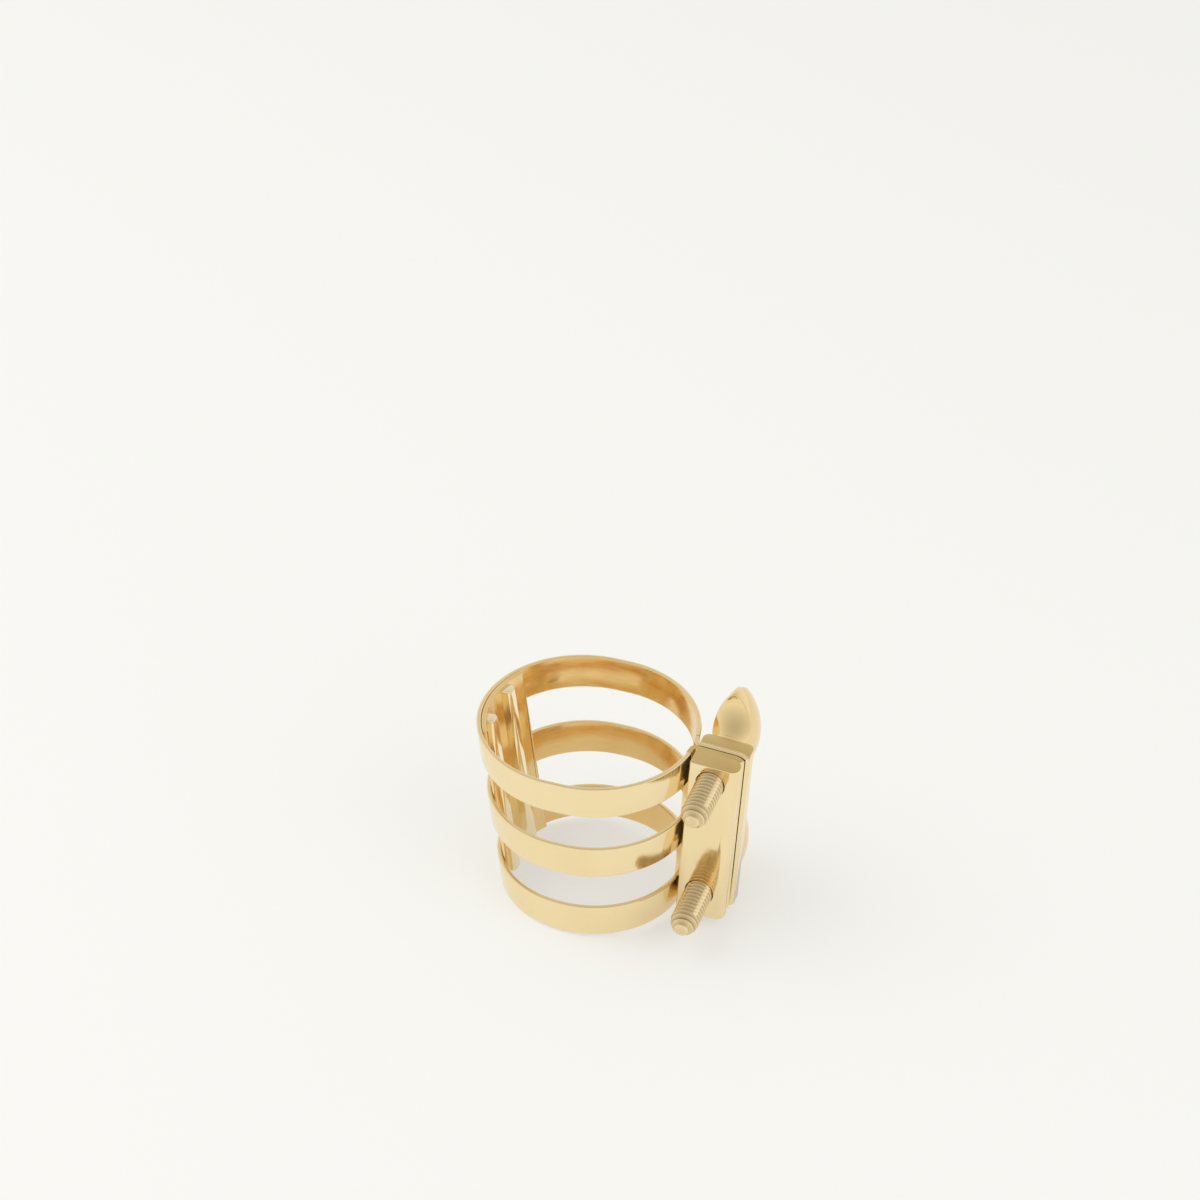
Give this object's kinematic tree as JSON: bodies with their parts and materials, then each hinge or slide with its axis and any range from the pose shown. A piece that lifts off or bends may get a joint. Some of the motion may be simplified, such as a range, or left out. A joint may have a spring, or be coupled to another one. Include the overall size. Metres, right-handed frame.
{
  "type": "saxophone ligature",
  "caption": "Gold-plated strap ligature: conical bands round a mouthpiece, a railed reed plate, and thumb screws that draw a pair of lugs together.",
  "frame": {"origin": "on the axis of the bore, in the plane of the narrow end's edge", "axes": "+Z along the mouthpiece towards the wide end, +X from the reed plate to the lugs, +Y from the screw tips to the thumb heads"},
  "size_m": [0.0381, 0.0288, 0.0321],
  "materials": {
    "polished_gold": "gold-plated brass, mirror polished",
    "brushed_gold": "gold-plated brass, polished sides and brushed ends",
    "thread_gold": "gold-plated brass, cut thread",
    "head_gold": "gold-plated brass, polished"
  },
  "bodies": {
    "hoop": {"top_band": "polished_gold", "middle_band": "polished_gold", "bottom_band": "polished_gold", "reed_plate": "polished_gold", "near_rail": "polished_gold", "far_rail": "polished_gold"},
    "near_jaw": {"near_strip": "polished_gold", "near_lug": "brushed_gold"},
    "far_jaw": {"far_strip": "polished_gold", "far_lug": "brushed_gold"},
    "upper_screw_set": {"upper_screw": "thread_gold", "upper_thumb_head": "head_gold"},
    "lower_screw_set": {"lower_screw": "thread_gold", "lower_thumb_head": "head_gold"}
  },
  "joints": [
    {"name": "near_jaw_slide", "type": "slide", "parent": "hoop", "child": "near_jaw", "axis": [0, -1, 0], "range_m": [0, 0.00144], "deforming": ["top_band", "middle_band", "bottom_band"]},
    {"name": "far_jaw_slide", "type": "slide", "parent": "hoop", "child": "far_jaw", "axis": [0, 1, 0], "range_m": [0, 0.00144]},
    {"name": "upper_screw_turn", "type": "hinge", "parent": "far_jaw", "child": "upper_screw_set", "pos_m": [0.01754, 0, 0.02392], "axis": [0, 1, 0], "range_deg": [0, 1476.5]},
    {"name": "lower_screw_turn", "type": "hinge", "parent": "far_jaw", "child": "lower_screw_set", "pos_m": [0.01645, 0, 0.00441], "axis": [0, 1, 0], "range_deg": [0, 1476.5]}
  ],
  "couplings": [
    {"joint": "near_jaw_slide", "follows": "far_jaw_slide", "ratio": 1},
    {"joint": "upper_screw_turn", "follows": "far_jaw_slide", "rad_per_m": 17952},
    {"joint": "lower_screw_turn", "follows": "far_jaw_slide", "rad_per_m": 17952}
  ]
}
